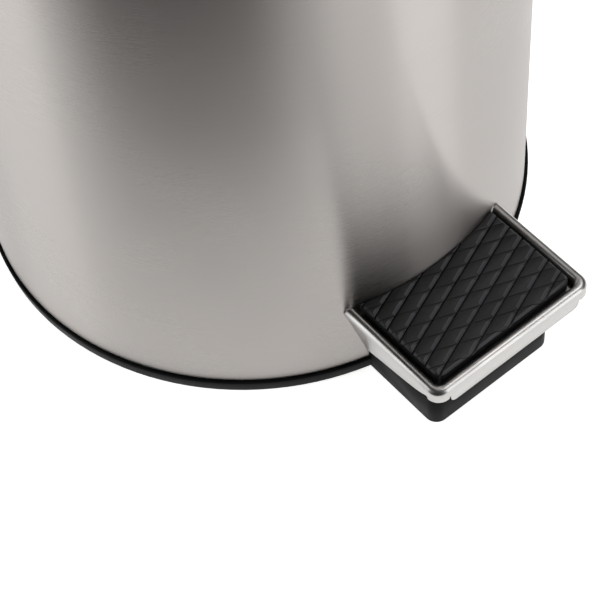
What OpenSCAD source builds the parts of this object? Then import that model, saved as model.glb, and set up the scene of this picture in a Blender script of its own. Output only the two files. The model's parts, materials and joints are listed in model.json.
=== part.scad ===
// Round pedal bin: a steel shell on a moulded base, a wide rubber-faced pedal at
// the front (-Y), and a domed lid that a push rod opens from the back (+Y).
// Z = 0 is the floor. The shell's axis stands at y = axis_y, so that the origin is
// the bottom centre of the whole object's box.

/* [Body] */
// Outer radius of the steel shell
shell_r = 145; // [143:0.5:147]
// Thickness of the shell's sheet steel
shell_t = 0.8; // [0.6:0.1:1.0]
// Height of the whole bin with its lid shut
bin_h = 450; // [446:1:456]
// Height of the visible plastic ring at the floor
ring_h = 8.8; // [8.4:0.2:9.6]
// Widest radius of that ring
ring_r = 146.9; // [146.4:0.1:147.2]
// How far the rubber pads hold the base off the floor
pad_lift = 0.8; // [0.5:0.1:1.2]

/* [Pedal] */
// Half of the pedal's width at the crest of its rim
crest_x = 47.6; // [47:0.2:48.4]
// Distance from the shell's axis to the crest at the pedal's front
crest_y = 201.2; // [200.6:0.2:201.6]
// Height of the crest above the floor
crest_z = 55.1; // [54.8:0.1:55.8]
// Radius of the rolled rim
bead_r = 2.8; // [2.4:0.1:2.8]
// Height of the rubber pad's top face
pad_top = 57.3; // [56.3:0.5:58.3]
// Angle that the pedal turns through when pressed
pedal_turn = 8.14; // [8.14:0.01:8.14]

/* [Foot] */
// Half of the width of the fixed foot under the pedal
foot_x = 38.8; // [37:0.2:39]
// Distance from the shell's axis to the foot's front face
foot_y = 189.4; // [188:0.2:189.6]
// Height of the foot
foot_h = 20; // [18:0.5:20.5]

/* [Lid] */
// Radius of the sphere that the lid's dome belongs to
dome_r = 351; // [345:1:360]
// Angle that the lid opens through
lid_open = 80; // [80:1:80]

/* [Hidden] */
$fn = 96;

axis_y = 18;              // the shell's axis, from the middle of the whole depth
eps = 0.05;               // overshoot that keeps cuts clean
big = 600;                // longer than anything in the bin

// Heights of the body's levels
shell_z0 = 6;             // the shell stands in the ring, hidden by its lip
shell_z1 = bin_h - 47;    // top edge of the shell
collar_z = 38;            // top of the base's collar, where the pan lies
pan_t = 1.2;
rim_z = shell_z1 + 2;     // top face of the plastic top ring
lid_z = rim_z + 1.5;      // lower edge of the lid
inner_r = shell_r - shell_t;
collar_r = 140.5;         // inside of the base's collar

// Pedal, in heights above the floor and distances from the shell's axis
bead_z = crest_z - bead_r;
sheet = 1;                // thickness of the pedal's pressed steel
tray_z1 = 47;             // upper face of the pedal's floor
tray_z0 = 45.8;           // lower face of the pedal's floor
crest_corner = 4.6;       // radius of the crest round a front corner
gap_r = shell_r + 0.4;    // the pedal's rear edge follows the shell
flange_front_z = 43;      // lower edge of the front flange
flange_front_x = 40.5;    // half of the front flange's length
flange_corner_z = 47.4;   // the flange is cut up to here round each corner
pad_x = 42.7;             // half of the rubber pad's width
pad_y = 196.6;            // distance from the shell's axis to the pad's front

// Lever: its pivot and its profile in the YZ plane
pivot = [-30, 24];
lever_x = 18;             // half of the lever's width
lever_t = 2;
rod_y = 133;
rear_slope = tan(pedal_turn / 2);
function rear_z(y) = pivot[1] - (y - pivot[0]) * rear_slope;
lever_end = 137.5;
slot_x = 22;              // half of the width of the openings the lever passes
slot_z0 = 12;             // lower edge of those openings
slot_z1 = 38.5;           // upper edge of the one in the shell
lever_top = [             // the upper line of the lever, front to back
    [-180, tray_z0], [-152.5, tray_z0], [-147.5, 37], [-112, 35.5], [-45, 33],
    [-15, 33], [25, rear_z(25)], [lever_end, rear_z(lever_end)]
];
lever_under = [           // the lower line of its upper wall, back to front
    [lever_end, rear_z(lever_end) - lever_t], [25, rear_z(25) - lever_t],
    [-15, 31], [-45, 31], [-112, 33.5], [-149.4, 35], [-154.4, tray_z0 - lever_t],
    [-180, tray_z0 - lever_t]
];
lever_foot = [            // the lower line of its two sides, back to front
    [lever_end, rear_z(lever_end) - 6.5], [30, 12.5], [-10, 17], [-50, 17.5],
    [-112, 26.5], [-147, 30.5], [-154, 38.5], [-180, 40]
];

// Push rod and lid hinge
rod_r = 2.5;
rod_lift = 2 * (rod_y - pivot[0]) * rear_slope;
crank = rod_lift / (2 * sin(lid_open / 2));
hinge_z = shell_z1 + 1;
hinge_y = rod_y + crank * (1 + cos(lid_open / 2)) / 2;
crank_y = hinge_y - crank * cos(lid_open / 2);
crank_z = hinge_z - crank * sin(lid_open / 2);
arm_x = 18;               // inner face of each lid arm
arm_t = 4;
notch_x = 25;             // half of the opening for the lid's arms
ear_x = 27;               // inner face of each bracket ear
cover_x = 36;
cover_y = crest_y + bead_r - 37.2;    // as far behind the origin as the rim is in front
cover_z0 = 340;

// Lid
lid_r = shell_r + 1.5;
lid_fillet = 9;
dome_z = bin_h - dome_r;
fillet_x = lid_r - lid_fillet;
fillet_z = dome_z + sqrt(pow(dome_r - lid_fillet, 2) - pow(fillet_x, 2));

// Bucket
bucket_z = collar_z + pan_t + 0.1;
bucket_rim_z = 392;
bail_z = 394.1;
bail_r = 118.5;           // radius of the bail's bow
bail_bend = 3;            // radius of the bend at each of its ends
lug_x = 111.5;            // inner face of each lug that holds it
lug_t = 3.5;

module placed() {
    translate([0, axis_y, 0]) children();
}

// A cylinder along X, from x0 to x1
module x_rod(x0, x1, y, z, r) {
    translate([x0, y, z]) rotate([0, 90, 0]) cylinder(r = r, h = x1 - x0);
}

// A cylinder along Y, from y0 to y1
module y_rod(y0, y1, x, z, r) {
    translate([x, y1, z]) rotate([90, 0, 0]) cylinder(r = r, h = y1 - y0);
}

// A plate across X, from x0 to x1, whose outline is drawn in the YZ plane
module x_plate(x0, x1) {
    translate([x0, 0, 0]) rotate([90, 0, 90]) linear_extrude(x1 - x0) children();
}

module box(x0, x1, y0, y1, z0, z1) {
    translate([x0, y0, z0]) cube([x1 - x0, y1 - y0, z1 - z0]);
}

module tube(r0, r1, z0, z1) {
    difference() {
        translate([0, 0, z0]) cylinder(r = r1, h = z1 - z0);
        translate([0, 0, z0 - eps]) cylinder(r = r0, h = z1 - z0 + 2 * eps);
    }
}

// A rectangle whose two corners on the -Y side are round
module front_round(hx, y_front, y_back, r) {
    translate([-hx, -y_front + r]) square([2 * hx, y_back + y_front - r]);
    translate([-hx + r, -y_front]) square([2 * (hx - r), y_front + y_back]);
    for (s = [-1, 1])
        translate([s * (hx - r), -y_front + r]) circle(r = r);
}

// ---- Body ----

module outer_shell() color("silver") placed() difference() {
    tube(inner_r, shell_r, shell_z0, shell_z1);
    // slot for the pedal's lever, under the pedal
    box(-slot_x, slot_x, -shell_r - 5, -collar_r + 5, slot_z0, slot_z1);
    // opening for the lid's arms
    box(-notch_x, notch_x, 120, shell_r + 5, shell_z1 - 20, shell_z1 + 5);
    bracket_rivet_shanks(2.02);
}

module ring_profile() {
    polygon([
        [collar_r, pad_lift], [ring_r - 1.4, pad_lift], [ring_r - 0.8, pad_lift + 0.6],
        [ring_r, ring_h - 2], [ring_r, ring_h - 0.6], [ring_r - 0.6, ring_h],
        [shell_r, ring_h], [shell_r, shell_z0], [inner_r, shell_z0],
        [inner_r, collar_z], [collar_r, collar_z]
    ]);
}

screw_r = 128;            // distance of the base's screw bosses from the axis

module at_screws() {
    for (a = [45 : 90 : 315])
        rotate([0, 0, a]) translate([screw_r, 0, 0]) children();
}

module base_ribs() {
    rib_z0 = 3;
    for (s = [-1, 1]) {
        // the long ribs that carry the lever's axle
        x0 = s > 0 ? 24 : -27;
        box(x0, x0 + 3, -141, 141, rib_z0, 16);
        x_plate(x0, x0 + 3) polygon([[-52, 15], [-38, 26], [-22, 26], [-8, 15]]);
        x_rod(s > 0 ? 23 : -30, s > 0 ? 30 : -23, pivot[0], pivot[1], 7);
        for (y = [-90, 0, 90])
            box(s > 0 ? 26 : -142, s > 0 ? 142 : -26, y - 1.25, y + 1.25, rib_z0, 14);
    }
    at_screws() translate([0, 0, rib_z0]) cylinder(r = 6, h = collar_z - rib_z0);
    for (a = [45 : 90 : 315])
        rotate([0, 0, a]) box(screw_r, 142, -1.5, 1.5, rib_z0, collar_z - 2);
}

module foot() {
    wall = 2.5;
    foot_corner = 6.5;
    difference() {
        translate([0, 0, pad_lift]) linear_extrude(foot_h - pad_lift)
            front_round(foot_x, foot_y, -135, foot_corner);
        // the shell stands behind it
        translate([0, 0, shell_z0]) cylinder(r = shell_r, h = foot_h);
        translate([0, 0, -eps]) cylinder(r = collar_r + 2, h = ring_h + 1);
        // the lever's channel
        box(-slot_x, slot_x, -foot_y + wall, -shell_r - 1, -1, foot_h + 1);
        box(-slot_x, slot_x, -shell_r - 2, -130, slot_z0, foot_h + 1);
        // a pocket from below on each side of it
        for (s = [-1, 1])
            box(s > 0 ? slot_x + wall : -foot_x + wall, s > 0 ? foot_x - wall : -slot_x - wall,
                -foot_y + 6, -shell_r - 2, -1, foot_h - wall);
        pad_sockets();
    }
}

// Places of the rubber pads: round the ring and under the foot
module at_pads() {
    for (a = [30, 90, 150, 210, 330])
        rotate([0, 0, a]) translate([142.7, 0, 0]) children();
    for (s = [-1, 1])
        translate([s * 32.5, -foot_y + 3.2, 0]) children();
}

module pad_sockets() {
    at_pads() cylinder(r = 1.8, h = pad_lift + 1.5);
}

module floor_pads() color("dimgray") placed() at_pads() cylinder(r = 1.8, h = pad_lift + 1.5);

module base_moulding() color("#1d1d1f") placed() {
    difference() {
        union() {
            rotate_extrude() ring_profile();
            intersection() {
                base_ribs();
                cylinder(r = 141, h = collar_z);
            }
            foot();
        }
        // slot in the collar for the lever
        box(-slot_x, slot_x, -shell_r + eps, -130, slot_z0, collar_z + 1);
        x_rod(-40, 40, pivot[0], pivot[1], 3.02);
        at_screws() translate([0, 0, 20]) cylinder(r = 1.95, h = 30);
        pad_sockets();
    }
}

module base_pan() color("gray") placed() difference() {
    translate([0, 0, collar_z]) cylinder(r = inner_r - 0.1, h = pan_t);
    translate([0, rod_y, collar_z - 1]) cylinder(r = 7, h = 4);
    at_screws() translate([0, 0, collar_z - 1]) cylinder(r = 2.2, h = 4);
}

module base_screws() color("silver") placed() at_screws() {
    difference() {
        translate([0, 0, collar_z + pan_t]) cylinder(r = 4, h = 2.2);
        // cross slot in the head
        for (a = [0, 90])
            rotate([0, 0, a]) box(-2.4, 2.4, -0.5, 0.5, collar_z + pan_t + 1.2, collar_z + pan_t + 3);
    }
    translate([0, 0, 24]) cylinder(r = 1.9, h = collar_z + pan_t - 24 + eps);
}

module pedal_axle() color("silver") placed() x_rod(-33, 33, pivot[0], pivot[1], 3);

module clip(x, y, z, r0, r1, t) {
    difference() {
        x_rod(x, x + t, y, z, r1);
        x_rod(x - 1, x + t + 1, y, z, r0);
        box(x - 1, x + t + 1, y - r0 * 0.6, y + r0 * 0.6, z, z + r1 + 1);
    }
}

module axle_clips() color("dimgray") placed()
    for (x = [-31.2, 30.2]) clip(x, pivot[0], pivot[1], 3.01, 6, 1);

module pedal_bumpers() color("#2a2a2a") placed()
    for (s = [-1, 1])
        translate([s * 30, -178, foot_h]) cylinder(r = 4, h = 4.2);

// ---- Pedal and lever ----

module pedal_lever() color("gainsboro") placed() difference() {
    union() {
        x_plate(-lever_x, lever_x) polygon(concat(lever_top, lever_under));
        for (x = [-lever_x, lever_x - lever_t])
            x_plate(x, x + lever_t) polygon(concat(lever_top, lever_foot));
    }
    x_rod(-30, 30, pivot[0], pivot[1], 4.5);
    rivet_shanks(2.02);
}

// Nylon bushes between the lever's sides and the axle
module lever_bushes() color("ivory") placed()
    for (s = [-1, 1]) mirror([s > 0 ? 0 : 1, 0, 0]) difference() {
        union() {
            x_rod(15.5, 19, pivot[0], pivot[1], 4.5);
            x_rod(18, 22.5, pivot[0], pivot[1], 6.5);
        }
        x_rod(10, 30, pivot[0], pivot[1], 3.06);
    }

// The pedal's outline, grown by off from the crest line, with its curved rear edge
module pedal_slab(off, z0, z1) {
    difference() {
        translate([0, 0, z0]) linear_extrude(z1 - z0)
            front_round(crest_x + off, crest_y + off, -130, crest_corner + off);
        translate([0, 0, z0 - 1]) cylinder(r = gap_r, h = z1 - z0 + 2);
    }
}

// A bar of radius r that follows the crest line
module crest_bar(r) {
    for (s = [-1, 1]) {
        y_rod(-crest_y + crest_corner, -130, s * crest_x, bead_z, r);
        translate([s * (crest_x - crest_corner), -crest_y + crest_corner, bead_z])
            rotate([0, 0, s > 0 ? 270 : 180]) rotate_extrude(angle = 90)
                translate([crest_corner, 0]) circle(r = r);
    }
    x_rod(-crest_x + crest_corner, crest_x - crest_corner, -crest_y, bead_z, r);
}

module flange_region() {
    // all round, down to the corner reliefs
    box(-60, 60, -210, -130, flange_corner_z, bead_z);
    // the front flange, with its two ends rounded
    x0 = flange_front_x;
    intersection() {
        union() {
            box(-x0, x0, -210, -196, flange_front_z + 4, bead_z);
            box(-x0 + 4, x0 - 4, -210, -196, flange_front_z, bead_z);
            for (s = [-1, 1]) y_rod(-210, -196, s * (x0 - 4), flange_front_z + 4, 4);
        }
        box(-60, 60, -210, -190, 30, bead_z);
    }
    // the side flanges, deepest near the shell
    x_plate(-60, 60) polygon([
        [-194.6, bead_z], [-194.6, 48.8], [-188, 46.2], [-177.8, 44.1], [-164.4, 42.1],
        [-154.8, 40.4], [-153, 40.9], [-140, 51], [-138.5, bead_z]
    ]);
}

module pedal_plate() color("silver") placed() {
    difference() {
        union() {
            pedal_slab(-bead_r + sheet, tray_z0, tray_z1);
            difference() {
                pedal_slab(-bead_r + sheet, tray_z0, bead_z);
                pedal_slab(-bead_r, tray_z0 - 1, bead_z + 1);
            }
            intersection() {
                difference() {
                    pedal_slab(bead_r, 30, bead_z);
                    pedal_slab(bead_r - sheet, 29, bead_z + 1);
                }
                flange_region();
            }
            difference() {
                crest_bar(bead_r);
                crest_bar(bead_r - sheet);
                box(-60, 60, -210, -130, bead_z - 5, bead_z);
                cylinder(r = gap_r, h = 80);
            }
        }
        rivet_shanks(2.02);
    }
}

module pedal_pad() color("#232325") placed() difference() {
    translate([0, 0, tray_z1]) linear_extrude(pad_top - tray_z1)
        front_round(pad_x, pad_y, -130, 3);
    translate([0, 0, tray_z1 - 1]) cylinder(r = gap_r, h = 20);
}

module rivet_shanks(r) {
    for (x = [-10, 10], y = [-174, -158])
        translate([x, y, tray_z0 - lever_t]) cylinder(r = r, h = tray_z1 - tray_z0 + lever_t);
}

module pedal_rivets() color("silver") placed() {
    rivet_shanks(2);
    for (x = [-10, 10], y = [-174, -158])
        translate([x, y, tray_z0 - lever_t - 1.4]) cylinder(r = 3.4, h = 1.4);
}

// ---- Push rod ----

foot_ball = 5;            // radius of the rod foot's round end
foot_z = rear_z(rod_y) + foot_ball / cos(pedal_turn / 2) + 0.1;

module rod_foot() color("ivory") placed() difference() {
    union() {
        translate([0, rod_y, foot_z]) sphere(r = foot_ball);
        translate([0, rod_y, foot_z]) cylinder(r = foot_ball, h = 8);
    }
    translate([0, rod_y, foot_z + 1]) cylinder(r = rod_r, h = 20);
}

module push_rod() color("silver") placed()
    translate([0, rod_y, foot_z + 1]) cylinder(r = rod_r, h = crank_z - 8 - foot_z);

module rod_eye() color("gray") placed() difference() {
    union() {
        box(-4, 4, rod_y - 7, rod_y + 7, crank_z - 5.5, crank_z + 5.5);
        translate([0, rod_y, crank_z - 18]) cylinder(r = 4, h = 14);
    }
    // the slot that the lid's crank pin rides in
    for (s = [-1, 1]) x_rod(-6, 6, rod_y + 2 * s, crank_z, 2.5);
    box(-6, 6, rod_y - 2, rod_y + 2, crank_z - 2.5, crank_z + 2.5);
    translate([0, rod_y, crank_z - 20]) cylinder(r = rod_r, h = 13);
}

module rod_guides() color("ivory") placed()
    for (z = [70, 330]) difference() {
        intersection() {
            box(-8, 8, rod_y - 4.5, shell_r, z, z + 15);
            cylinder(r = inner_r, h = bin_h);
        }
        translate([0, rod_y, z - 1]) cylinder(r = rod_r + 0.08, h = 17);
    }

// ---- Top ring and hinge ----

module top_ring() color("#1d1d1f") placed() difference() {
    rotate_extrude() polygon([
        [129, 384], [130.8, 384], [130.8, shell_z1], [142.4, shell_z1], [142.4, 390],
        [inner_r, 390], [inner_r, shell_z1], [shell_r, shell_z1], [shell_r, 396],
        [lid_r, 396], [lid_r, rim_z - 0.8], [lid_r - 0.8, rim_z], [129.8, rim_z],
        [129, rim_z - 0.8]
    ]);
    box(-31, 31, 100, 160, 380, rim_z + 1);
}

module bracket_rivet_shanks(r) {
    for (x = [-13, 13], z = [352, 374]) y_rod(141, 148, x, z, r);
}

module hinge_bracket() color("gray") placed() difference() {
    union() {
        intersection() {
            tube(shell_r, shell_r + 1.5, 345, 391);
            box(-32, 32, 120, 160, 345, 391);
        }
        for (s = [-1, 1]) {
            x0 = s > 0 ? ear_x : -ear_x - 2;
            difference() {
                union() {
                    x_plate(x0, x0 + 2) polygon([
                        [140, 378], [149, 384], [153.5, 402], [144.5, hinge_z], [143.5, 395], [140, 394]
                    ]);
                    x_rod(x0, x0 + 2, hinge_y, hinge_z, 5);
                }
                cylinder(r = shell_r, h = bin_h);
            }
        }
    }
    x_rod(-40, 40, hinge_y, hinge_z, 2.52);
    bracket_rivet_shanks(2.02);
    for (s = [-1, 1]) y_rod(140, 150, s * 24, 362, 1.52);
}

module bracket_rivets() color("silver") placed()
    for (x = [-13, 13], z = [352, 374]) {
        y_out = sqrt(pow(shell_r + 1.5, 2) - x * x);
        y_in = sqrt(pow(inner_r, 2) - 15 * 15);
        y_rod(y_in - 0.5, y_out + 0.5, x, z, 2);
        y_rod(y_out + 0.4, y_out + 1.6, x, z, 3.4);
        y_rod(y_in - 1.7, y_in - 0.4, x, z, 3.4);
    }

module hinge_pin() color("silver") placed() {
    x_rod(-31, 32, hinge_y, hinge_z, 2.5);
    x_rod(-32.2, -31, hinge_y, hinge_z, 4);
}

module hinge_pin_clip() color("dimgray") placed() clip(30, hinge_y, hinge_z, 2.51, 4.8, 0.8);

module cover_outline(x, y) {
    difference() {
        rotate([0, 0, 180]) front_round(x, y, -120, 9);
        circle(r = shell_r);
    }
}

module hinge_cover() color("#1d1d1f") placed() difference() {
    union() {
        difference() {
            translate([0, 0, cover_z0]) linear_extrude(rim_z - cover_z0)
                cover_outline(cover_x, cover_y);
            translate([0, 0, cover_z0 + 2]) linear_extrude(rim_z - cover_z0 - 4)
                rotate([0, 0, 180]) front_round(cover_x - 2, cover_y - 2, -120, 7);
            // opening in the top for the knuckles
            box(-33, 33, 120, 156, rim_z - 10, rim_z + 1);
            // the top ring's lip
            translate([0, 0, 395.9]) cylinder(r = lid_r + 0.1, h = 20);
        }
        // bosses for the two screws
        difference() {
            for (s = [-1, 1]) y_rod(140, cover_y - 1, s * 24, 362, 4);
            cylinder(r = shell_r + 1.55, h = bin_h);
        }
    }
    for (s = [-1, 1]) y_rod(140, cover_y + 2, s * 24, 362, 1.6);
}

module cover_screws() color("silver") placed()
    for (s = [-1, 1]) {
        y_rod(144, cover_y + 0.1, s * 24, 362, 1.5);
        difference() {
            y_rod(cover_y, cover_y + 1.2, s * 24, 362, 3.2);
            box(s * 24 - 2, s * 24 + 2, cover_y + 0.6, cover_y + 2, 361.6, 362.4);
            box(s * 24 - 0.4, s * 24 + 0.4, cover_y + 0.6, cover_y + 2, 360, 364);
        }
    }

// ---- Lid ----

// The lid's outline in the XZ half plane, taken in by t all round
module lid_outline(t) {
    touch_x = fillet_x * dome_r / (dome_r - lid_fillet);
    intersection() {
        union() {
            intersection() {
                translate([0, dome_z]) circle(r = dome_r - t, $fn = 360);
                square([touch_x, bin_h]);
            }
            translate([fillet_x, fillet_z]) circle(r = lid_fillet - t);
            square([lid_r - t, fillet_z]);
        }
        translate([0, lid_z]) square([big, big]);
    }
}

module lid_shell() color("silver") placed() rotate_extrude() difference() {
    lid_outline(0);
    lid_outline(0.8);
}

module lid_arm() {
    x_plate(arm_x, arm_x + arm_t) {
        translate([hinge_y, hinge_z]) circle(r = 4.2);
        translate([crank_y, crank_z]) circle(r = 4.5);
        polygon([
            [hinge_y, lid_z - 0.3], [143.9, lid_z - 0.3], [143.9, lid_z + 2],
            [128.5, lid_z + 2], [128.5, hinge_z - 4], [crank_y - 4.4, crank_z],
            [crank_y, crank_z - 4.4], [hinge_y + 1, hinge_z - 4]
        ]);
    }
}

module lid_liner() color("#262628") placed() difference() {
    union() {
        rotate_extrude() difference() {
            lid_outline(0.8);
            lid_outline(2.6);
        }
        tube(125.8, lid_r - 0.8, lid_z, lid_z + 2);
        difference() {
            tube(125.8, 127.3, lid_z - 6.5, lid_z + 1);
            box(-notch_x, notch_x, 100, 140, 380, lid_z);
        }
        for (s = [0, 1]) mirror([s, 0, 0]) lid_arm();
    }
    x_rod(-40, 40, hinge_y, hinge_z, 2.56);
    x_rod(-40, 40, crank_y, crank_z, 2);
}

module crank_pin() color("silver") placed() {
    x_rod(-22.5, 22.5, crank_y, crank_z, 2);
    for (x = [-23.3, 22]) x_rod(x, x + 1.3, crank_y, crank_z, 3);
}

module lid_bumpers() color("#2a2a2a") placed()
    for (a = [45 : 90 : 315])
        rotate([0, 0, a]) translate([137, 0, rim_z + 0.1]) cylinder(r = 4, h = 1.4);

// ---- Bucket ----

module inner_bucket() color("#3a3a3c") placed() difference() {
    union() {
        rotate_extrude() polygon([
            [0, bucket_z], [110, bucket_z], [113, bucket_z + 3], [120, bucket_rim_z - 3],
            [123.2, bucket_rim_z - 3], [123.2, bucket_rim_z - 7], [124.5, bucket_rim_z - 7],
            [124.5, bucket_rim_z - 0.6], [123.9, bucket_rim_z], [118.2, bucket_rim_z],
            [111.2, bucket_z + 4.7], [109.2, bucket_z + 1.8], [0, bucket_z + 1.8]
        ]);
        // the two lugs that hold the bail's ends
        for (s = [0, 1]) mirror([s, 0, 0]) {
            box(lug_x, lug_x + lug_t, -6, 6, 378, bail_z + 1);
            x_rod(lug_x, lug_x + lug_t, 0, bail_z, 6);
            box(lug_x + lug_t - 1, 118.8, -6, 6, 378, 390);
        }
    }
    x_rod(-140, 140, 0, bail_z, 2.06);
}

module bucket_bail() color("silver") placed() {
    translate([0, -bail_bend, 0]) rotate([0, 0, 180]) rotate_extrude(angle = 180)
        translate([bail_r, bail_z]) circle(r = 2);
    for (s = [0, 1]) mirror([s, 0, 0]) {
        translate([bail_r - bail_bend, -bail_bend, bail_z]) rotate_extrude(angle = 90)
            translate([bail_bend, 0]) circle(r = 2);
        x_rod(lug_x - 1, bail_r - bail_bend, 0, bail_z, 2);
    }
}

module bail_grip() color("#1d1d1f") placed()
    translate([0, -bail_bend, 0]) rotate([0, 0, 252]) rotate_extrude(angle = 36) difference() {
        translate([bail_r - 4, bail_z - 1.7]) square([6.8, 7.1]);
        translate([bail_r, bail_z]) circle(r = 2);
    }

outer_shell();
base_moulding();
base_pan();
base_screws();
floor_pads();
pedal_axle();
axle_clips();
pedal_bumpers();
pedal_lever();
lever_bushes();
pedal_plate();
pedal_pad();
pedal_rivets();
push_rod();
rod_foot();
rod_eye();
rod_guides();
top_ring();
hinge_bracket();
bracket_rivets();
hinge_pin();
hinge_pin_clip();
hinge_cover();
cover_screws();
lid_shell();
lid_liner();
crank_pin();
lid_bumpers();
inner_bucket();
bucket_bail();
bail_grip();
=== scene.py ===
import json
import math

import bmesh
import bpy
from mathutils import Matrix, Vector


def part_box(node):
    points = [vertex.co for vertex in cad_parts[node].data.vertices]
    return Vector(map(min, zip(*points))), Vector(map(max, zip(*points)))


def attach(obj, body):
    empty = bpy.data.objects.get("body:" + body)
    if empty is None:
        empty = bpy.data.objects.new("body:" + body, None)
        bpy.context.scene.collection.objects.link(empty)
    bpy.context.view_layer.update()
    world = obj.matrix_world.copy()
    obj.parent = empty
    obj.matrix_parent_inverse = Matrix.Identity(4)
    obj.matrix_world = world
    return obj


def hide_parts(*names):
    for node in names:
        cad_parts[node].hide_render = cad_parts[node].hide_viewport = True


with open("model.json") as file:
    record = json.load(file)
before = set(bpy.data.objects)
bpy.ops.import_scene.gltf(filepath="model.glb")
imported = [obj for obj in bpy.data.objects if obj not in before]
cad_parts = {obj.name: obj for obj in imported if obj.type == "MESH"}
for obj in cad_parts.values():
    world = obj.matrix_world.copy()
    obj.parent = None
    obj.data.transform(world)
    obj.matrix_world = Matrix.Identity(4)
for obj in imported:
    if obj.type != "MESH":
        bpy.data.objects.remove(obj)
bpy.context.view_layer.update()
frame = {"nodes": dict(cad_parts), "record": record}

MM = 0.001
SHELL_LO, SHELL_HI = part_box("outer_shell")
SHELL_R = (SHELL_HI.x - SHELL_LO.x) / 2
AXIS_Y = (SHELL_HI.y + SHELL_LO.y) / 2
FACET_PAINTED_LIGHT_SIDE = (0.36, -0.93, 0.0)      # which way the pad's sloping facets look; facets facing this way get a painted highlight


# ---- Camera, floor and light ----

def make_camera():
    """The photograph's view: from the front left, well above, a little rolled."""
    azimuth, distance, height = math.radians(-33.49), 4.8134 * SHELL_R, 5.8509 * SHELL_R
    yaw, pitch, roll = math.radians(-1.32), math.radians(54.486), math.radians(-5.807)
    place = Vector((distance * math.sin(azimuth), AXIS_Y - distance * math.cos(azimuth), height))
    turn = azimuth + yaw
    ahead = Vector((-math.sin(turn) * math.cos(pitch), math.cos(turn) * math.cos(pitch), -math.sin(pitch)))
    right = ahead.cross(Vector((0, 0, 1))).normalized()
    up = right.cross(ahead)
    side = math.cos(roll) * right + math.sin(roll) * up
    top = -math.sin(roll) * right + math.cos(roll) * up
    data = bpy.data.cameras.new("photo_camera")
    data.lens, data.sensor_width = 120.54, 36.0
    data.clip_start, data.clip_end = 0.05, 50
    cam = bpy.data.objects.new("photo_camera", data)
    axes = Matrix((side, top, -ahead)).transposed().to_4x4()
    cam.matrix_world = Matrix.Translation(place) @ axes
    bpy.context.scene.collection.objects.link(cam)
    bpy.context.scene.camera = cam


def node_material(name):
    mat = bpy.data.materials.new(name)
    mat.use_nodes = True
    tree = mat.node_tree
    tree.nodes.clear()
    return mat, tree


def make_floor():
    bpy.ops.mesh.primitive_plane_add(size=8, location=(0, 0, -0.05 * MM))
    floor = bpy.context.object
    floor.name = "studio_floor"
    mat, tree = node_material("studio_floor")
    out = tree.nodes.new("ShaderNodeOutputMaterial")
    bsdf = tree.nodes.new("ShaderNodeBsdfPrincipled")
    bsdf.inputs["Base Color"].default_value = (0.9, 0.9, 0.9, 1)
    bsdf.inputs["Roughness"].default_value = 0.9
    bsdf.inputs["Specular IOR Level"].default_value = 0
    bsdf.inputs["Emission Color"].default_value = (1, 0.995, 0.985, 1)
    bsdf.inputs["Emission Strength"].default_value = 0.9
    tree.links.new(bsdf.outputs[0], out.inputs[0])
    floor.data.materials.append(mat)


def area_light(name, azimuth, elevation, distance, width, height, power):
    """A soft box that looks at the bin. Azimuth 0 is in front, 90 to the right."""
    data = bpy.data.lights.new(name, "AREA")
    data.shape, data.size, data.size_y = "RECTANGLE", width, height
    data.energy = power
    lamp = bpy.data.objects.new(name, data)
    a, e = math.radians(azimuth), math.radians(elevation)
    back = Vector((math.sin(a) * math.cos(e), -math.cos(a) * math.cos(e), math.sin(e)))
    target = Vector((0, AXIS_Y, 0.15))
    lamp.location = target + back * distance
    lamp.rotation_mode = "QUATERNION"
    lamp.rotation_quaternion = (-back).to_track_quat("-Z", "Y")
    bpy.context.scene.collection.objects.link(lamp)


def make_flag(name, azimuth, radius, half_width, z0, z1):
    """A dark card with soft sides that only reflections see, like an unlit studio."""
    a = math.radians(azimuth)
    out, side = Vector((math.sin(a), -math.cos(a), 0)), Vector((math.cos(a), math.sin(a), 0))
    centre = Vector((0, AXIS_Y, 0)) + out * radius
    data = bpy.data.meshes.new(name)
    corners = ((-1, z0), (1, z0), (1, z1), (-1, z1))
    verts = [tuple(centre + side * u * half_width + Vector((0, 0, z))) for u, z in corners]
    data.from_pydata(verts, [], [(0, 1, 2, 3)])
    card = bpy.data.objects.new(name, data)
    bpy.context.scene.collection.objects.link(card)
    mat, tree = node_material(name)
    new, link = tree.nodes.new, tree.links.new
    along = new("ShaderNodeVectorMath")
    along.operation = "DOT_PRODUCT"
    link(new("ShaderNodeTexCoord").outputs["Object"], along.inputs[0])
    along.inputs[1].default_value = side
    offset = new("ShaderNodeMath")
    offset.operation = "SUBTRACT"
    link(along.outputs["Value"], offset.inputs[0])
    offset.inputs[1].default_value = side.dot(centre)
    size = new("ShaderNodeMath")
    size.operation = "ABSOLUTE"
    link(offset.outputs[0], size.inputs[0])
    fade = new("ShaderNodeMapRange")
    fade.interpolation_type = "SMOOTHSTEP"
    limits = (0.25 * half_width, half_width, 1, 0)
    for key, value in zip(("From Min", "From Max", "To Min", "To Max"), limits):
        fade.inputs[key].default_value = value
    link(size.outputs[0], fade.inputs["Value"])
    mix = new("ShaderNodeMixShader")
    link(fade.outputs[0], mix.inputs[0])
    link(new("ShaderNodeBsdfTransparent").outputs[0], mix.inputs[1])
    dark = new("ShaderNodeEmission")
    dark.inputs["Strength"].default_value = 0
    link(dark.outputs[0], mix.inputs[2])
    link(mix.outputs[0], new("ShaderNodeOutputMaterial").inputs[0])
    data.materials.append(mat)
    card.visible_camera = card.visible_diffuse = card.visible_shadow = card.visible_transmission = False


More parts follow.
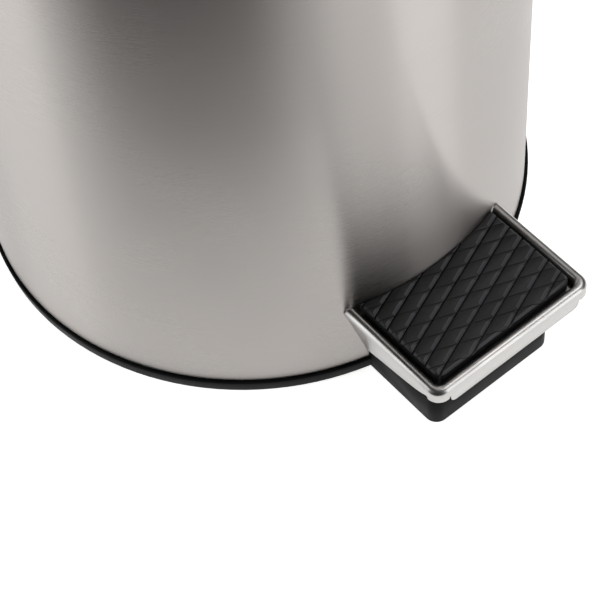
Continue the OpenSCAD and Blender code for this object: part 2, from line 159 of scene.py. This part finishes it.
def make_light():
    world = bpy.data.worlds.new("studio")
    bpy.context.scene.world = world
    world.use_nodes = True
    back = world.node_tree.nodes["Background"]
    back.inputs["Color"].default_value = (0.05, 0.05, 0.052, 1)
    back.inputs["Strength"].default_value = 1
    area_light("softbox_left", -108, 18, 1.5, 0.8, 1.6, 9)
    area_light("softbox_right", 22.5, 18, 1.5, 0.55, 1.6, 7)
    area_light("softbox_back", 150, 35, 1.9, 1.4, 1.2, 5)
    area_light("overhead", 78, 60, 1.6, 0.9, 0.9, 7)
    make_flag("flag", -50, 0.33, 0.36, 0.0, 0.9)
    bpy.context.scene.view_settings.view_transform = "Standard"


# ---- Materials ----

class Shader:
    """A Principled material with short calls for the nodes that it needs."""

    def __init__(self, name, colour, roughness, metallic=0.0, **constants):
        self.mat, self.tree = node_material(name)
        out = self.node("OutputMaterial")
        self.bsdf = self.node("BsdfPrincipled")
        self.tree.links.new(self.bsdf.outputs[0], out.inputs[0])
        self.bsdf.inputs["Base Color"].default_value = (*colour, 1)
        self.bsdf.inputs["Roughness"].default_value = roughness
        self.bsdf.inputs["Metallic"].default_value = metallic
        for key, value in constants.items():
            self.bsdf.inputs[key.replace("_", " ")].default_value = value

    def node(self, kind, **settings):
        made = self.tree.nodes.new("ShaderNode" + kind)
        for key, value in settings.items():
            setattr(made, key, value)
        return made

    def link(self, a, b):
        self.tree.links.new(a, b)

    def math(self, operation, a, b=0.0):
        made = self.node("Math", operation=operation)
        for socket, value in zip(made.inputs, (a, b)):
            if isinstance(value, (int, float)):
                socket.default_value = value
            else:
                self.link(value, socket)
        return made.outputs[0]

    def mix(self, a, share_a, b, share_b):
        """The sum of two values, each times its share."""
        return self.math("ADD", self.math("MULTIPLY", a, share_a), self.math("MULTIPLY", b, share_b))

    def position(self, scale=(1, 1, 1), offset=(0, 0, 0)):
        """Object coordinates, scaled: the pieces are all in the row frame, in metres."""
        mapping = self.node("Mapping")
        mapping.inputs["Location"].default_value = offset
        mapping.inputs["Scale"].default_value = scale
        self.link(self.node("TexCoord").outputs["Object"], mapping.inputs["Vector"])
        return mapping.outputs[0]

    def round_axis(self, around, along, height):
        """Coordinates that run round the bin's axis, along a radius and up."""
        split = self.node("SeparateXYZ")
        self.link(self.position(offset=(0, -AXIS_Y, 0)), split.inputs[0])
        x, y, z = split.outputs
        angle = self.math("ARCTAN2", y, x)
        radius = self.math("SQRT", self.mix(x, x, y, y))
        join = self.node("CombineXYZ")
        self.link(self.math("MULTIPLY", angle, around), join.inputs[0])
        self.link(self.math("MULTIPLY", radius, along), join.inputs[1])
        self.link(self.math("MULTIPLY", z, height), join.inputs[2])
        return join.outputs[0]

    def noise(self, vector, scale=1.0, detail=2.0, roughness=0.5):
        made = self.node("TexNoise")
        made.inputs["Scale"].default_value = scale
        made.inputs["Detail"].default_value = detail
        made.inputs["Roughness"].default_value = roughness
        self.link(vector, made.inputs["Vector"])
        return made.outputs["Fac"]

    def spread(self, value, low, high, start=0.0, end=1.0):
        """A value that runs from low to high while the given one runs from start to end."""
        made = self.node("MapRange")
        limits = (start, end, low, high)
        for socket, number in zip(("From Min", "From Max", "To Min", "To Max"), limits):
            made.inputs[socket].default_value = number
        self.link(value, made.inputs["Value"])
        return made.outputs[0]

    def tint(self, value, dark, light):
        """A base colour between dark and light."""
        ramp = self.node("ValToRGB")
        for element, colour, place in zip(ramp.color_ramp.elements, (dark, light), (0.25, 0.75)):
            element.color = (*colour, 1)
            element.position = place
        self.link(value, ramp.inputs[0])
        self.link(ramp.outputs[0], self.bsdf.inputs["Base Color"])

    def rough(self, value, low, high, start=0.3, end=0.7):
        self.link(self.spread(value, low, high, start, end), self.bsdf.inputs["Roughness"])

    def bump(self, value, distance, strength):
        made = self.node("Bump")
        made.inputs["Distance"].default_value = distance
        made.inputs["Strength"].default_value = strength
        self.link(value, made.inputs["Height"])
        self.link(made.outputs[0], self.bsdf.inputs["Normal"])


def shades(colour, amount):
    """A darker and a lighter version of a colour."""
    return tuple(c * (1 - amount) for c in colour), tuple(min(1, c * (1 + amount)) for c in colour)


def brushed_steel(name, colour, roughness):
    """Stainless sheet brushed round the bin, so that its highlights run up and down."""
    s = Shader(name, colour, roughness, 1.0, Anisotropic=1.0)
    tangent = s.node("Tangent", direction_type="RADIAL", axis="Z")
    s.link(tangent.outputs[0], s.bsdf.inputs["Tangent"])
    s.bsdf.inputs["Anisotropic Rotation"].default_value = 0.25
    grain = s.noise(s.round_axis(9, 300, 5200), 1, 3, 0.6)
    cloud = s.noise(s.position((9, 9, 9)), 1, 2, 0.5)
    s.tint(s.mix(grain, 0.7, cloud, 0.3), *shades(colour, 0.05))
    s.rough(s.mix(grain, 0.3, cloud, 0.7), roughness - 0.02, roughness + 0.02)
    s.bump(grain, 0.0006 * MM, 0.3)
    return s.mat


def satin_steel(name, colour, roughness, grain_scale=(150, 9000, 9000)):
    """Drawn and polished steel with faint lines and soft clouds of wear."""
    s = Shader(name, colour, roughness, 1.0)
    lines = s.noise(s.position(grain_scale), 1, 2, 0.5)
    cloud = s.noise(s.position((60, 60, 60)), 1, 3, 0.55)
    s.tint(s.mix(lines, 0.4, cloud, 0.6), *shades(colour, 0.04))
    s.rough(cloud, roughness - 0.05, roughness + 0.06)
    s.bump(lines, 0.0004 * MM, 0.3)
    return s.mat


def moulded(name, colour, roughness, grain=9000, depth=0.01, wear=0.5, shine=0.5):
    """Moulded plastic or rubber: a fine spark texture over broad flow marks."""
    s = Shader(name, colour, roughness, Specular_IOR_Level=shine)
    fine = s.noise(s.position(), grain, 2, 0.6)
    broad = s.noise(s.position(), 55, 3, 0.5)
    dark, light = shades(colour, wear)
    s.tint(s.mix(fine, 0.45, broad, 0.55), dark, light)
    s.rough(broad, roughness - 0.07, roughness + 0.08)
    s.bump(fine, depth * MM, 0.6)
    return s.mat


def rubber_with_painted_facet_light(name, colour, painted_light_colour, roughness):
    """The pad's rubber, with painted light: its sloping facets are painted paler than its flat tops, as if
    lit.
    """
    s = Shader(name, colour, roughness, Specular_IOR_Level=0.42)
    fine = s.noise(s.position(), 6000, 2, 0.6)
    broad = s.noise(s.position(), 55, 3, 0.5)
    slope = s.node("VectorMath", operation="DOT_PRODUCT")
    s.link(s.node("TexCoord").outputs["Normal"], slope.inputs[0])
    slope.inputs[1].default_value = FACET_PAINTED_LIGHT_SIDE
    # painted highlight: facets that face one way get a paler base colour, as if the lamps lit them
    facet = s.spread(slope.outputs["Value"], 0.0, 0.75, 0.28, 0.36)
    # upright walls aren't facets, so they get no painted highlight
    steep = s.spread(slope.outputs["Value"], 1.0, 0.0, 0.5, 0.6)
    s.tint(s.math("ADD", s.math("MULTIPLY", facet, steep), s.mix(fine, 0.18, broad, 0.12)), colour, painted_light_colour)
    s.rough(broad, roughness - 0.07, roughness + 0.08)
    s.bump(fine, 0.02 * MM, 0.6)
    return s.mat


def make_materials():
    return {
        "shell_steel": brushed_steel("shell_steel", (0.42, 0.396, 0.381), 0.28),
        "pedal_steel": satin_steel("pedal_steel", (0.47, 0.462, 0.452), 0.31),
        "black_plastic": moulded("black_plastic", (0.007, 0.0072, 0.0076), 0.45, shine=0.04),
        # the pad's second colour is a painted highlight for the lit facets, not a colour of the rubber
        "pad_rubber": rubber_with_painted_facet_light("pad_rubber", (0.012, 0.012, 0.0126), (0.05, 0.05, 0.055), 0.5),
        "soft_rubber": moulded("soft_rubber", (0.03, 0.03, 0.031), 0.7, 5000, 0.02),
        "zinc_steel": satin_steel("zinc_steel", (0.50, 0.51, 0.53), 0.36, (1200, 1200, 1200)),
        "bright_steel": satin_steel("bright_steel", (0.72, 0.72, 0.73), 0.2, (400, 7000, 7000)),
        "spring_steel": satin_steel("spring_steel", (0.10, 0.10, 0.11), 0.35, (3000, 3000, 3000)),
        "nylon": moulded("nylon", (0.70, 0.68, 0.62), 0.45, 4000, 0.01, 0.08),
        "bucket_plastic": moulded("bucket_plastic", (0.05, 0.052, 0.055), 0.38, 5000, 0.015, 0.25),
    }


# ---- Mesh helpers ----

def arc(cx, cz, r, a0, a1, steps):
    """Points of a circle's arc, angles in degrees."""
    return [
        (cx + r * math.cos(math.radians(a0 + (a1 - a0) * i / steps)),
         cz + r * math.sin(math.radians(a0 + (a1 - a0) * i / steps)))
        for i in range(steps + 1)
    ]


def mesh_object(name, verts, faces, slot_name, smooth_below=35):
    """A mesh from points in millimetres about the shell's axis."""
    data = bpy.data.meshes.new(name)
    data.from_pydata([(x * MM, y * MM + AXIS_Y, z * MM) for x, y, z in verts], [], faces)
    return finish_mesh(name, data, slot_name, smooth_below)


def finish_mesh(name, data, slot_name, smooth_below=35):
    work = bmesh.new()
    work.from_mesh(data)
    bmesh.ops.remove_doubles(work, verts=work.verts, dist=0.002 * MM)
    bmesh.ops.recalc_face_normals(work, faces=work.faces)
    work.to_mesh(data)
    work.free()
    shade(data, smooth_below)
    data.materials.clear()
    data.materials.append(MATERIALS[slot_name])
    obj = bpy.data.objects.new(name, data)
    bpy.context.scene.collection.objects.link(obj)
    return obj


def shade(data, smooth_below):
    data.polygons.foreach_set("use_smooth", [True] * len(data.polygons))
    data.set_sharp_from_angle(angle=math.radians(smooth_below))


def apply_modifiers(obj, smooth_below=35):
    graph = bpy.context.evaluated_depsgraph_get()
    graph.update()
    made = bpy.data.meshes.new_from_object(obj.evaluated_get(graph))
    obj.modifiers.clear()
    obj.data = made
    shade(made, smooth_below)


def add_bevel(obj, width, angle=32):
    bevel = obj.modifiers.new("edges", "BEVEL")
    bevel.width, bevel.segments = width * MM, 2
    bevel.limit_method, bevel.angle_limit = "ANGLE", math.radians(angle)
    bevel.use_clamp_overlap = True
    bevel.harden_normals = False


def refine(node, body, slot_name, bevel):
    """A copy of a CAD node with welded points, clean flats and small rounded edges."""
    weld = 0.01 * MM
    data = frame["nodes"][node].data.copy()
    work = bmesh.new()
    work.from_mesh(data)
    bmesh.ops.remove_doubles(work, verts=work.verts, dist=weld)
    bmesh.ops.dissolve_limit(
        work, angle_limit=math.radians(0.4), use_dissolve_boundaries=False,
        verts=work.verts, edges=work.edges)
    work.to_mesh(data)
    work.free()
    obj = finish_mesh(node + "_detail", data, slot_name)
    add_bevel(obj, bevel)
    apply_modifiers(obj)
    stand_for(obj, body, node)


def stand_for(obj, body, node):
    """The piece moves with the body, and is seen in place of the CAD node."""
    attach(obj, body)
    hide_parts(node)


make_camera()
make_floor()
make_light()
MATERIALS = make_materials()


# ---- Shell ----

def make_shell():
    """The sheet steel tube, with the lever's slot and the notch for the lid's arms."""
    r1, sheet = SHELL_R / MM, 0.8
    z0, z1 = SHELL_LO.z / MM, SHELL_HI.z / MM
    slot_x, slot_low, slot_high = 22.0, 12.0, 38.5
    notch_x, notch_low = 25.0, z1 - 20
    half_slot, half_notch = (math.degrees(math.asin(x / r1)) for x in (slot_x, notch_x))
    marks = [-90 - half_slot, -90 + half_slot, 90 - half_notch, 90 + half_notch, 270 - half_slot]
    angles = []
    for a, b in zip(marks, marks[1:]):
        count = max(2, round((b - a) / 0.5))
        angles += [(a + (b - a) * i / count, a == marks[0], a == marks[2]) for i in range(count)]
    levels = [z0, slot_low, slot_high, notch_low, z1]
    n, rows = len(angles), len(levels)

    def kept(i, j):
        in_slot, in_notch = angles[i % n][1:]
        return not (in_slot and j == 1) and not (in_notch and j == rows - 2)

    verts = []
    for r in (r1, r1 - sheet):
        for a, _, _ in angles:
            verts += [(r * math.cos(math.radians(a)), r * math.sin(math.radians(a)), z) for z in levels]
    faces = []
    for i in range(n):
        k = (i + 1) % n
        for j in range(rows - 1):
            if not kept(i, j):
                continue
            a, b, c, d = i * rows + j, k * rows + j, k * rows + j + 1, i * rows + j + 1
            inner = n * rows
            faces += [(a, b, c, d), (a + inner, d + inner, c + inner, b + inner)]
            for near, (p, q) in (((i - 1, j), (a, d)), ((i + 1, j), (b, c))):
                if not kept(*near):
                    faces.append((p, q, q + inner, p + inner))
            if j == 0 or not kept(i, j - 1):
                faces.append((a, b, b + inner, a + inner))
            if j == rows - 2 or not kept(i, j + 1):
                faces.append((d, c, c + inner, d + inner))
    obj = mesh_object("shell_tube", verts, faces, "shell_steel", 40)
    stand_for(obj, "body", "outer_shell")


# ---- Pedal ----

PLATE_LO, PLATE_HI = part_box("pedal_plate")
PAD_LO, PAD_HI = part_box("pedal_pad")
BEAD_R = 2.8
CREST_X = PLATE_HI.x / MM - BEAD_R
CREST_Y = (AXIS_Y - PLATE_LO.y) / MM - BEAD_R
CREST_Z = PLATE_HI.z / MM
BEAD_Z = CREST_Z - BEAD_R
FLOOR_Z = PAD_LO.z / MM
CORNER_R = 5.2            # of the crest round a front corner
CORNER_GROWTH = 0.6       # how much wider that radius gets from inside to outside
PLATE_FLOOR = 45.8        # the lower face of the tray's floor
GAP_R = SHELL_R / MM + 0.4    # the rear edges of tray and pad follow the shell


def crest_path(u):
    """The rim's outline in plan, u outside its crest, from the left rear to the right rear."""
    hx, front, r = CREST_X + u, -CREST_Y - u, CORNER_R + CORNER_GROWTH * u
    rear = -math.sqrt(GAP_R ** 2 - hx ** 2)
    side, corner, across = 90, 12, 200
    left = [(-hx, rear + (front + r - rear) * i / side) for i in range(side + 1)]
    for i in range(1, corner + 1):
        t = math.radians(180 + 90 * i / corner)
        left.append((-hx + r + r * math.cos(t), front + r + r * math.sin(t)))
    middle = [(-hx + r + 2 * (hx - r) * i / across, front) for i in range(1, across)]
    return left + middle + [(-x, y) for x, y in reversed(left)]


def flange_bottom(x, y):
    """Height of the flange's lower edge at a point of the crest path."""
    corner_z, slit_z = 47.4, 48.9
    slit_front, slit_rear = -195.5, -194.6
    x = abs(x)
    if y < -CREST_Y + 0.01:
        end, r, low = 40.5, 3.8, 43.0
        if x > end + 1.0:
            return corner_z
        if x > end:
            return slit_z
        if x > end - r:
            return low + r - math.sqrt(max(0, r * r - (x - end + r) ** 2))
        return low
    if y < slit_rear:
        return corner_z if y < slit_front else slit_z
    # the side flange, from the slit back to the shell
    line = [(slit_rear, 48.8), (-192, 47.6), (-188, 46.2), (-177.8, 44.1), (-164.4, 42.1),
            (-155.6, 40.5), (-154, 40.45), (-152.6, 41.1), (-140, 51.0), (-130, 53)]
    for (y0, z0), (y1, z1) in zip(line, line[1:]):
        if y <= y1:
            return z0 + (z1 - z0) * (y - y0) / (y1 - y0)
    return line[-1][1]


def make_pedal_plate():
    """The pressed sheet: flange, rolled rim, inner wall and floor, closed all round."""
    fillet, sheet, under = 1.6, 1.0, FLOOR_Z - PLATE_FLOOR
    wall = FLOOR_Z + fillet - BEAD_Z
    # upper skin from the flange's edge to the floor, then the lower skin back again
    rows = [(BEAD_R, None)] + arc(0, 0, BEAD_R, 0, 180, 16) + arc(-BEAD_R - fillet, wall, fillet, 0, -90, 6)
    floor_row = len(rows) - 1
    back = BEAD_R - sheet
    rows += list(reversed(arc(-BEAD_R - fillet, wall, fillet + sheet, 0, -90, 6)))
    rows[floor_row + 1] = (rows[floor_row][0], FLOOR_Z - under - BEAD_Z)
    rows += [(-back, 0)] + list(reversed(arc(0, 0, back, 0, 180, 12)))[1:] + [(back, None)]
    n = len(rows)
    crest = crest_path(0)
    last = len(crest) - 1
    paths = [crest_path(u) for u, _ in rows]
    verts, faces = [], []
    for i in range(last + 1):
        low = min(flange_bottom(*crest[i]), BEAD_Z - 0.4)
        for (_, dz), path in zip(rows, paths):
            verts.append((*path[i], low if dz is None else BEAD_Z + dz))
    for i in range(last):
        for k in range(n):
            if k != floor_row:
                m = (k + 1) % n
                faces.append((i * n + k, i * n + m, (i + 1) * n + m, (i + 1) * n + k))
    faces += [tuple(range(n)), tuple(range(last * n, last * n + n))]
    # the flat floor inside, closed along the shell's curve
    steps = 24
    x_end = verts[last * n + floor_row][0]
    curve = [x_end - 2 * x_end * i / steps for i in range(steps + 1)]
    rear = [[last * n + floor_row + side] for side in (0, 1)]
    for x in curve[1:-1]:
        for side in (0, 1):
            rear[side].append(len(verts))
            verts.append((x, -math.sqrt(GAP_R ** 2 - x * x), FLOOR_Z - under * side))
    for side in (0, 1):
        faces.append(tuple([i * n + floor_row + side for i in range(last + 1)] + rear[side][1:]))
        rear[side].append(floor_row + side)
    for k in range(steps):
        faces.append((rear[0][k], rear[0][k + 1], rear[1][k + 1], rear[1][k]))
    obj = mesh_object("pedal_tray", verts, faces, "pedal_steel", 40)
    add_bevel(obj, 0.22, 50)
    apply_modifiers(obj, 40)
    stand_for(obj, "pedal", "pedal_plate")


def pad_outline(grow=0.0, steps=40):
    """The pad's outline, corners rounded at the front and its rear edge along the shell."""
    hx = PAD_HI.x / MM + grow
    front = (PAD_LO.y - AXIS_Y) / MM - grow
    r = 4.0 + 0.8 * grow
    left = arc(-hx + r, front + r, r, 180, 270, 9)
    right = [(-x, y) for x, y in reversed(left)]
    rear = []
    for i in range(steps + 1):
        x = hx - 2 * hx * i / steps
        rear.append((x, -math.sqrt((GAP_R - grow) ** 2 - x * x)))
    return left + right + rear


def prism(name, levels, slot_name):
    """A solid through outlines of equal length, each with its height, bottom to top."""
    n, top = len(levels[0][0]), len(levels) - 1
    verts = [(x, y, z) for outline, z in levels for x, y in outline]
    faces = [tuple(range(n - 1, -1, -1)), tuple(range(top * n, top * n + n))]
    for k in range(top):
        for i in range(n):
            j = (i + 1) % n
            faces.append((k * n + i, k * n + j, k * n + n + j, k * n + n + i))
    return mesh_object(name, verts, faces, slot_name)


PAD_TOP = PAD_HI.z / MM
BLOCK_DEPTH = 2.2
DIAMOND_X, DIAMOND_Y = 11.64, 4.56                       # half of a diamond's length and width
RISE = Vector((DIAMOND_X, DIAMOND_Y)).normalized()       # along its "/" edges
FALL = Vector((-DIAMOND_X, DIAMOND_Y)).normalized()      # along its "\" edges


def pad_block(corner):
    """A diamond block behind its front corner, with a facet that slopes to its lower right edge."""
    groove, slit, facet, drop, taper = 0.95, 0.12, 1.8, 0.75, 2.2
    shear = abs(RISE.x * FALL.y - RISE.y * FALL.x)
    side = math.hypot(DIAMOND_X, DIAMOND_Y)
    # insets measured along the diamond's own edges
    a0, a1 = slit / shear, side - slit / shear
    b0, b1 = slit / shear, side - groove / shear
    bf = b0 + facet / shear
    foot, low = PAD_TOP - BLOCK_DEPTH, PAD_TOP - drop
    points = [
        (a0, b0, foot), (a1, b0, foot), (a1, b1, foot), (a0, b1, foot),
        # the facet, blunt at its left end and tapered at its right
        (a0 + 0.5, b0, low), (a1 - taper, b0, low), (a1 - taper, bf, PAD_TOP), (a0 + bf - b0, bf, PAD_TOP),
        (a1, b1, PAD_TOP), (a0, b1, PAD_TOP), (a1, b0, PAD_TOP - 0.1), (a0, b0, PAD_TOP),
    ]
    faces = [
        (0, 3, 2, 1), (4, 5, 6, 7), (5, 10, 6), (11, 4, 7), (11, 7, 6, 10, 8, 9),
        (0, 1, 10, 5, 4, 11), (1, 2, 8, 10), (2, 3, 9, 8), (3, 0, 11, 9),
    ]
    return [(*(corner + RISE * a + FALL * b), z) for a, b, z in points], faces


def make_pedal_pad():
    """Diamond blocks on a base sheet, trimmed to the pad's outline with a bevel all round."""
    odd_y = -188.1            # the middle of a diamond in the odd columns
    reach_x, front_y, rear_y = 60, -206, -128
    verts, faces = [], []
    for i in range(-9, 10):
        for j in range(-2, 14):
            x, y = DIAMOND_X * i, odd_y + DIAMOND_Y * (2 * j + i % 2 - 1)
            if abs(x) <= reach_x and front_y <= y <= rear_y:
                points, block = pad_block(Vector((x, y - DIAMOND_Y)))
                faces += [tuple(len(verts) + v for v in face) for face in block]
                verts += points
    blocks = mesh_object("pad_blocks", verts, faces, "pad_rubber", 20)
    outline, inner = pad_outline(), pad_outline(-1.5)
    levels = [(outline, PAD_TOP - 4), (outline, PAD_TOP - 1), (inner, PAD_TOP + 0.2)]
    cutter = prism("pad_cutter", levels, "pad_rubber")
    cut = blocks.modifiers.new("outline", "BOOLEAN")
    cut.operation, cut.object, cut.solver = "INTERSECT", cutter, "EXACT"
    apply_modifiers(blocks, 20)
    bpy.data.objects.remove(cutter)
    add_bevel(blocks, 0.14, 18)
    apply_modifiers(blocks, 25)
    base_top = PAD_TOP - BLOCK_DEPTH + 0.05
    base = prism("pad_base", [(outline, PAD_LO.z / MM), (outline, base_top)], "pad_rubber")
    add_bevel(base, 0.3, 40)
    apply_modifiers(base, 30)
    stand_for(base, "pedal", "pedal_pad")
    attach(blocks, "pedal")


make_shell()
make_pedal_plate()
make_pedal_pad()

refine("base_moulding", "body", "black_plastic", 0.35)
refine("top_ring", "body", "black_plastic", 0.35)
refine("hinge_cover", "body", "black_plastic", 0.4)
refine("lid_liner", "lid", "black_plastic", 0.25)
refine("inner_bucket", "bucket", "bucket_plastic", 0.25)


# ---- Every other CAD node gets its slot's material ----

def paint_nodes():
    slots = {part["node"]: part["material_slot"] for part in frame["record"]["subparts"]}
    for name, obj in frame["nodes"].items():
        obj.data.materials.clear()
        obj.data.materials.append(MATERIALS[slots[name]])


paint_nodes()
